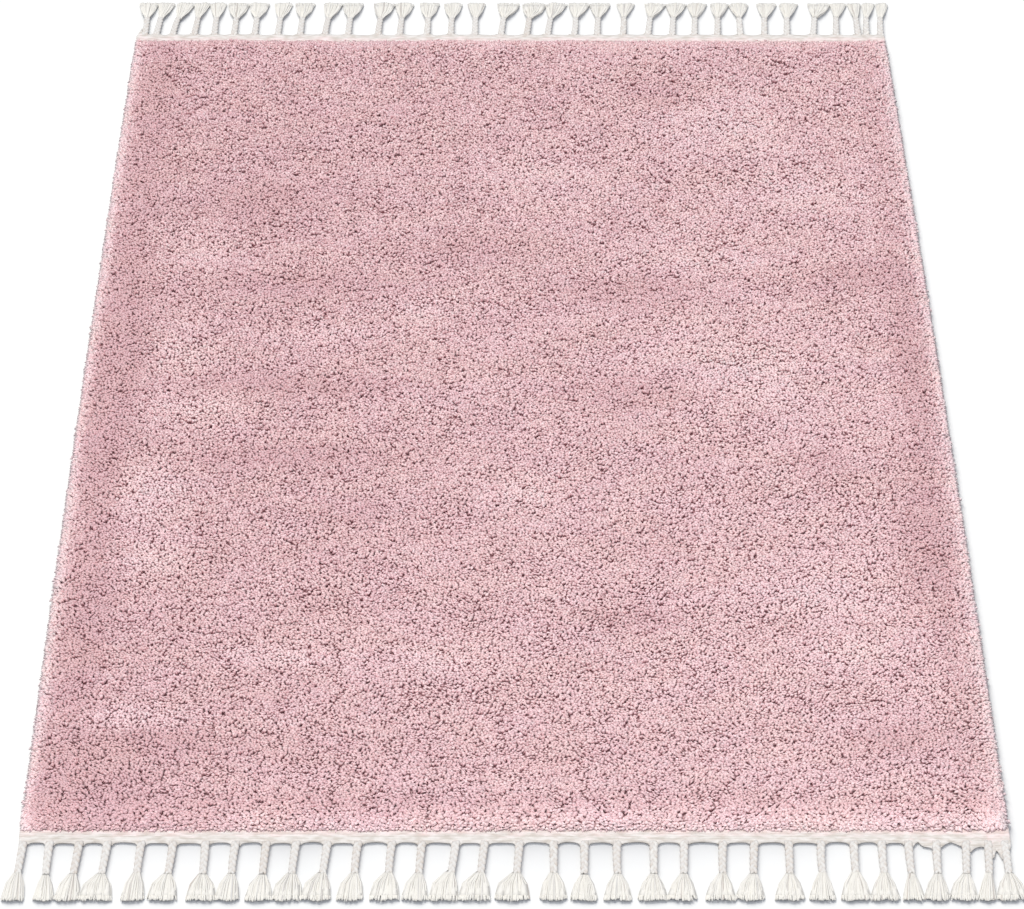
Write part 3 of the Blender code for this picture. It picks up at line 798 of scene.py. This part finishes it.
def plait_paths(tassels, chance):
    """Three yarn groups a braid, each weaving from side to side over and under the others."""
    share = np.linspace(0, 1, PLAIT_STATIONS)
    paths, radii, starts = [], [], []
    for tassel in tassels:
        start = chance.uniform(0, 1)
        bend = chance.normal(0, 0.5) * MM
        for k in range(3):
            phase = TURN * (share * PLAIT_CYCLES + start + k / 3)
            half = between(ROOT_WIDTH, NECK_WIDTH, share) / 2 + PLAIT_OUTSET
            radius = PLAIT_RADIUS * between(1.0, PLAIT_NARROWS, share)
            # Slimmer and lower where it leaves the strip, and where the tassel takes over
            radius = radius * np.clip((1.05 - share) / 0.13, 0.35, 1) * np.clip((share + 0.03) / 0.09, 0.4, 1)
            x = between(tassel["root"], tassel["neck"], share) + bend * np.sin(math.pi * share)
            x = x + (half - radius) * np.sin(phase)
            y = RUG_LENGTH / 2 + between(-2 * MM, BRAID_LENGTH + 2.5 * MM, share)
            height = between(BRAID_HEIGHT, NECK_HEIGHT, share)
            z = height * (0.5 - 0.3 * np.exp(-share / 0.05) - 0.2 * np.clip((share - 0.9) / 0.1, 0, 1))
            z = z + PLAIT_WEAVE * np.sin(2 * phase)
            paths.append(np.stack([x, y, z], 1))
            radii.append(radius)
            starts.append(start + k / 3)
    return np.array(paths), np.array(radii), np.array(starts)


def flare_of(tassel, share, chance):
    """How far each tassel has spread at each share of its length; slim ones open late, wide ones at once."""
    wide = (tassel["right"] - tassel["left"]) / MM
    power = np.clip(tassel["bulge"] + (wide - 26) * 0.055 + chance.normal(0, 0.12), 1.2, 3.0)
    return 1 - (1 - share) ** power


def skirt_paths(tassels, chance):
    """The loose yarns of each tassel, in a flat spread bell from the neck to the cut ends."""
    share = np.array(SKIRT_SHARES)[None]
    paths, radii, tones = [], [], []
    for tassel in tassels:
        start = BRAID_LENGTH - tassel["early"] - (SKIRT_START + chance.normal(0, 1.2)) * MM
        flare = flare_of(tassel, np.clip((share - 0.08) / 0.92, 0, 1), chance)
        tassel["flare"] = flare
        across = (np.arange(SKIRT_YARNS) + 0.5) / SKIRT_YARNS
        across = np.clip(across + chance.normal(0, 0.015, SKIRT_YARNS), 0.0, 1.0)[:, None]
        layer = chance.permutation(SKIRT_YARNS)[:, None] / SKIRT_YARNS
        at_neck = tassel["neck"] + (across - 0.5) * (NECK_WIDTH - 2.4 * MM)
        at_tip = between(tassel["left"] - TIP_SPILL, tassel["right"] + TIP_SPILL, across)
        x = at_neck + (at_tip - at_neck) * flare
        x = x + chance.normal(0, 0.3, (SKIRT_YARNS, 1)) * MM * np.sin(math.pi * share)
        edge = np.abs(across - 0.5) * 2
        # The cut end is a little wavy, and the outermost yarns are shorter and lie lower
        wave = np.sin(across * chance.uniform(5, 9) + chance.uniform(0, 6))
        cut = FRINGE_LENGTH + 0.3 * MM + 0.8 * MM * wave
        tip = cut + chance.uniform(-1, 0.6, (SKIRT_YARNS, 1)) * TIP_SPREAD - 1.5 * MM * edge**4
        y = RUG_LENGTH / 2 + start + (tip - start) * share
        high = np.interp(share, BELL_SHARES, BELL_HEIGHTS)
        high = high * (1 - 0.45 * edge**4 * flare)
        z = SKIRT_RADIUS * 0.95 + np.sqrt(0.3 + 0.7 * layer) * np.maximum(high - 2 * SKIRT_RADIUS, 0)
        paths.append(np.stack([x, y, z], 2))
        width = SKIRT_RADIUS * chance.uniform(0.85, 1.2, (SKIRT_YARNS, 1)) * np.array(SKIRT_PROFILE)[None]
        radii.append(width)
        stained = chance.uniform(0, 1, SKIRT_YARNS) < 0.07
        tones.append(np.clip(SKIRT_TONE + chance.normal(0, 0.12, SKIRT_YARNS) - 0.5 * stained, 0, 1))
    return np.concatenate(paths), np.concatenate(radii), np.concatenate(tones)


def heart_paths(tassels):
    """Broad low locks under each tassel's yarns, so that no floor shows between them."""
    share = np.linspace(0, 1, HEART_STATIONS)[None]
    paths, radii = [], []
    for tassel in tassels:
        flare = np.interp(share, SKIRT_SHARES, tassel["flare"][0])
        across = (np.arange(HEART_LOCKS)[:, None] + 0.5) / HEART_LOCKS
        at_neck = tassel["neck"] + (across - 0.5) * (NECK_WIDTH - 4 * MM)
        at_tip = between(tassel["left"] + 0.4 * MM, tassel["right"] - 0.4 * MM, across)
        x = at_neck + (at_tip - at_neck) * flare
        reach = FRINGE_LENGTH - 3.5 * MM - BRAID_LENGTH
        y = RUG_LENGTH / 2 + BRAID_LENGTH - 3 * MM + reach * share + 0 * across
        wide = (tassel["right"] - tassel["left"]) / HEART_LOCKS
        radius = between(1.2 * MM, wide * 0.55, flare) + 0 * across
        z = HEART_FLAT * radius + 0.1 * MM
        paths.append(np.stack([x, y, z], 2))
        radii.append(radius)
    return np.concatenate(paths), np.concatenate(radii)


STRIP_STEP = 1.8 * MM
STRIP_ROWS = 7
STRIP_WAVE = 0.35 * MM
STRIP_PROFILE = ((0, 0.8, 1), (1.0, 1.0, 0.55))  # its thickness from the pile to the outer edge
FILLET = 5 * MM
ROOT_LEVEL = 4 * MM  # how far the strip's edge stands out along a braid's root
FRONT_LEVEL, BACK_LEVEL = 2.2 * MM, 3.4 * MM  # and between two braids
FRONT_RISE, BACK_RISE = 14 * MM, 26 * MM  # and at its corners, along the outermost braid
SLACK_PLACES, SLACK = (0.49, 0.56, 0.60), (0.0, 5 * MM, 8 * MM)  # how far the front's right end has stretched
# The front strip's edge in four gaps at its right end, counted from the last: (share of the gap, mm past the
# straight edge)
END_GAPS = {
    -5: ((0, 9.0), (0.14, 3.6), (0.3, 0.0), (0.4, 4.6), (0.56, 7.8), (0.8, 8.8), (0.92, 9.6), (1, 14.0)),
    -4: ((0, 9.4), (0.22, 4.2), (0.38, 1.8), (0.5, 0.6), (0.6, 1.8), (0.76, 4.2), (1, 8.0)),
    -3: ((0, 16.0), (0.2, 11.4), (0.45, 9.0), (0.75, 7.6), (1, 9.0)),
    -2: ((0, 26.0), (0.2, 17.0), (0.4, 13.4), (0.6, 17.0), (1, 28.0)),
}


def strip_edge(x, roots, end, chance):
    """The strip's outer edge: out along each braid's root, and arched between two roots."""
    straight = RUG_LENGTH / 2
    edge_level, rise = (FRONT_LEVEL, FRONT_RISE) if end < 0 else (BACK_LEVEL, BACK_RISE)
    y = np.empty_like(x)
    gaps = list(zip([-1.0, *roots], [*roots, 1.0]))
    kinds = chance.uniform(0, 1, (len(gaps), 3))
    slack = np.interp(x, SLACK_PLACES, SLACK) if end < 0 else 0 * x
    for number, (left, right) in enumerate(gaps):
        inside = (x >= left) & (x < right)
        start, stop = left + ROOT_WIDTH / 2, right - ROOT_WIDTH / 2
        here = x[inside]
        share = np.clip((here - start) / max(stop - start, 1e-6), 0, 1)
        near = np.minimum(here - start, stop - here)
        depth = (0.6 + 2.2 * kinds[number, 0]) * MM + slack[inside]
        peak = 0.35 + 0.3 * kinds[number, 1]
        arch = np.where(share < peak, share / peak, (1 - share) / (1 - peak))
        arch = np.sin(arch * math.pi / 2) ** (0.6 + 0.9 * kinds[number, 2])
        fillet = FILLET - np.sqrt(np.maximum(FILLET**2 - np.clip(FILLET - near, 0, FILLET) ** 2, 0))
        level = straight + edge_level + slack[inside] - depth * arch
        past_root = straight + ROOT_LEVEL + slack[inside]
        if number in (0, len(gaps) - 1):  # beside the outermost braid the strip's corner slants into it
            inner = stop if number == 0 else start
            apart = np.abs(here - inner) / (RUG_WIDTH / 2 - abs(inner))
            level = straight + slack[inside] - 2 * MM + rise * (1 - np.clip(apart, 0, 1)) ** 1.2
            fillet = 0
        if end < 0 and number - len(gaps) in END_GAPS:
            shares, levels = zip(*END_GAPS[number - len(gaps)])
            level = straight + np.interp(share, shares, levels) * MM
            past_root = level
            fillet = 0
        y[inside] = np.where(near <= 0, past_root, level + fillet)
    return y


def build_strip(name, roots, end, seed, material):
    """A closed slab with that edge, flat under."""
    chance = np.random.default_rng(seed)
    count = round(RUG_WIDTH / STRIP_STEP)
    x = np.linspace(-RUG_WIDTH / 2, RUG_WIDTH / 2, count + 1)
    outer = strip_edge(x, roots, end, chance)
    inner = RUG_LENGTH / 2 - HEM_WIDTH
    rows = np.linspace(0, 1, STRIP_ROWS)
    y = inner + (outer[None] - inner) * rows[:, None]
    xs = np.broadcast_to(x[None], y.shape)
    wave = field(xs.ravel(), y.ravel(), 0.012, 0.006, 6.1 + seed).reshape(y.shape)
    thick = HEM_THICKNESS * np.interp(rows, *STRIP_PROFILE)[:, None] + STRIP_WAVE * wave
    upper = np.stack([xs, y * end, thick], -1).reshape(-1, 3)
    i, j = np.meshgrid(np.arange(count), np.arange(STRIP_ROWS - 1))
    a = (j * (count + 1) + i).ravel()
    top = np.stack([a, a + 1, a + count + 2, a + count + 1], 1)
    # Under it, one row of faces from the inner edge to the outer one
    last = (STRIP_ROWS - 1) * (count + 1)
    inner_edge, outer_edge = list(range(count + 1)), list(range(last, last + count + 1))
    shift = len(upper)
    lower = upper[inner_edge + outer_edge] * np.array([1, 1, 0])
    inner_low = [shift + k for k in range(count + 1)]
    outer_low = [shift + count + 1 + k for k in range(count + 1)]
    faces = [tuple(f) for f in top]
    for k in range(count):
        faces.append((inner_edge[k + 1], inner_edge[k], inner_low[k], inner_low[k + 1]))
        faces.append((outer_edge[k], outer_edge[k + 1], outer_low[k + 1], outer_low[k]))
        faces.append((inner_low[k], outer_low[k], outer_low[k + 1], inner_low[k + 1]))
    left_side = [k * (count + 1) for k in range(STRIP_ROWS)]
    right_side = [k * (count + 1) + count for k in range(STRIP_ROWS)]
    faces.append((inner_low[0], *left_side, outer_low[0]))
    faces.append((outer_low[-1], *reversed(right_side), inner_low[-1]))
    if end < 0:
        faces = [tuple(reversed(f)) for f in faces]
    near = np.concatenate([np.repeat(1 - rows, count + 1), np.ones(count + 1), np.zeros(count + 1)])
    return make_piece(name, np.concatenate([upper, lower]), faces, material, near=near)


def build_fringe(side, node, rows, end, seed, yarn, weave):
    """The strip, braids and tassels of one end, where end is -1 at the front and 1 at the back."""
    chance = np.random.default_rng(seed)
    tassels = tassels_of(rows)
    for tassel in tassels:
        if end < 0:
            tassel["bulge"] = np.interp(tassel["root"], FRONT_CHANGE, FRONT_BULGE)
            tassel["early"] = 0.0
        else:
            tassel["bulge"] = np.interp(tassel["root"], BACK_CHANGE, BACK_BULGE)
            tassel["early"] = np.interp(tassel["root"], BACK_CHANGE, BACK_EARLY) * MM
    flip = np.array([1, end, 1])
    pieces = [build_strip(f"hem_{side}", [t["root"] for t in tassels], end, seed, weave)]

    def add(name, paths, radii, sides, flat, blunt, tone, starts=None):
        across = np.tile([1.0, 0, 0], (len(paths), 1))
        points, faces, shares, places = strands(paths, across, radii, sides, flat, FRINGE_ROLL, blunt)
        if end < 0:
            faces = faces[:, ::-1]
            places = tuple(p.reshape(-1, 3, 2)[:, ::-1].reshape(-1, 2) for p in places)
        shade = per_vertex(tone, points)
        # Painted shade on the braids: each yarn group is darker where it sinks under the others, lighter where
        # it rises over them
        if starts is not None:
            phase = TURN * (shares * PLAIT_CYCLES + per_vertex(starts, points))
            shade = shade + PLAIT_SHADE * np.sin(2 * phase)
        pieces.append(make_piece(name, points * flip, faces, yarn, places=places, tone=shade))

    paths, radii, starts = plait_paths(tassels, chance)
    tones = PLAIT_TONE + chance.normal(0, 0.05, len(paths))
    add(f"braids_{side}", paths, radii, PLAIT_SIDES, PLAIT_FLAT, False, tones, starts)
    paths, radii, tones = skirt_paths(tassels, chance)
    add(f"tassels_{side}", paths, radii, 3, SKIRT_FLAT, True, tones)
    paths, radii = heart_paths(tassels)
    tones = np.full(len(paths), HEART_TONE)
    add(f"tassel_hearts_{side}", paths, radii, HEART_SIDES, HEART_FLAT, True, tones)
    for piece in pieces:
        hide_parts(node)
    return pieces


# ---- The bindings

BINDING_STEP = 2.4 * MM
BINDING_SIDES = 6
BINDING_SWELL = 1.08  # a little higher than the solid, and cut flat under
STITCH = 4.0 * MM
STITCH_DEPTH = 0.16


def binding_material():
    n = Nodes("binding_yarn", roughness=0.9, sheen=0.2, sheen_tint=(1.0, 0.95, 0.95), specular=0.2)
    fuzz = n.noise(900.0, 2.0)
    n.colour(n.ramp(fuzz, (0.3, (0.56, 0.48, 0.47)), (0.65, (0.70, 0.63, 0.61))))
    n.bump(fuzz, 0.3 * MM, 0.6)
    return n.material


def build_binding(side_name, side, material):
    """Overcast yarn round the long edge: a low roll with slanting stitches."""
    half = RUG_LENGTH / 2 - HEM_WIDTH - GAP
    count = round(2 * half / BINDING_STEP)
    y = np.linspace(-half, half, count + 1)[:, None]
    angle = (np.arange(BINDING_SIDES) + 0.5) * TURN / BINDING_SIDES
    slant = y / STITCH + angle[None] / TURN
    stitch = 1 - STITCH_DEPTH * (0.5 + 0.5 * np.cos(TURN * slant)) ** 2
    x = side * (RUG_WIDTH / 2 - BINDING_WIDTH / 2) + np.cos(angle)[None] * BINDING_WIDTH / 2 * stitch
    z = np.maximum((1 + np.sin(angle)[None] * stitch * BINDING_SWELL) * BINDING_HEIGHT / 2, 0)
    y = y + 0 * x
    points = np.stack([bowed(x, y), y, z], -1).reshape(-1, 3)
    faces = []
    for k in range(count):
        a = k * BINDING_SIDES
        for m in range(BINDING_SIDES):
            p, q = a + m, a + (m + 1) % BINDING_SIDES
            faces.append((p + BINDING_SIDES, q + BINDING_SIDES, q, p))
    faces.append(tuple(range(BINDING_SIDES)))
    faces.append(tuple(count * BINDING_SIDES + m for m in reversed(range(BINDING_SIDES))))
    name, node = f"overcast_{side_name}", f"binding_{side_name}"
    return make_piece(name, points, faces, material, node, "binding_yarn")


yarn, weave = fringe_material(), hem_material()
trim = build_fringe("front", "fringe_front", FRONT_TASSELS, -1, 31, yarn, weave)
trim += build_fringe("back", "fringe_back", BACK_TASSELS, 1, 32, yarn, weave)
overcast = binding_material()
trim += [build_binding("left", -1, overcast), build_binding("right", 1, overcast)]

# ---- The floor and the light

FLOOR_COLOUR = (0.855, 0.855, 0.85)
FLOOR_HALF, FLOOR_LEVEL = 30.0, -0.2 * MM
SKY_COLOUR, SKY_STRENGTH = (0.84, 0.89, 1.0), 0.50
# One lamp lights the rug from above and a little in front of it. The other, from behind and to the left, is
# kept to the floor and gives the soft shadow along the fringe.
LAMP_COLUMNS = ("name", "energy", "angle", "colour", "towards", "floor")
LAMPS = (
    ("key", 3.1, 28, (1.0, 0.98, 0.94), (0.12, 0.25, -1.0), "EXCLUDE"),
    ("floor_key", 5.7, 38, (1.0, 0.98, 0.93), (0.36, -1.60, -0.80), "INCLUDE"),
)

floor_material = Nodes("floor", roughness=0.9, sheen=0.0, sheen_tint=(1, 1, 1), specular=0.1)
floor_material.shader.inputs["Base Color"].default_value = (*FLOOR_COLOUR, 1)
floor_mesh = bpy.data.meshes.new("floor")
floor_signs = ((-1, -1), (1, -1), (1, 1), (-1, 1))
floor_corners = [(x * FLOOR_HALF, y * FLOOR_HALF, FLOOR_LEVEL) for x, y in floor_signs]
floor_mesh.from_pydata(floor_corners, [], [(0, 1, 2, 3)])
floor_mesh.materials.append(floor_material.material)
floor = bpy.data.objects.new("floor", floor_mesh)
scene.collection.objects.link(floor)

world = bpy.data.worlds.new("studio")
scene.world = world
world.use_nodes = True
sky = world.node_tree.nodes["Background"]
sky.inputs["Color"].default_value = (*SKY_COLOUR, 1)
sky.inputs["Strength"].default_value = SKY_STRENGTH

for row in LAMPS:
    lamp = dict(zip(LAMP_COLUMNS, row))
    light = bpy.data.lights.new(lamp["name"], "SUN")
    light.energy = lamp["energy"]
    light.angle = math.radians(lamp["angle"])
    light.color = lamp["colour"]
    light_object = bpy.data.objects.new(lamp["name"], light)
    scene.collection.objects.link(light_object)
    light_object.rotation_euler = Vector(lamp["towards"]).to_track_quat("-Z", "Y").to_euler()
    receivers = bpy.data.collections.new(f"{lamp['name']}_receivers")
    receivers.objects.link(floor)
    receivers.collection_objects[0].light_linking.link_state = lamp["floor"]
    light_object.light_linking.receiver_collection = receivers
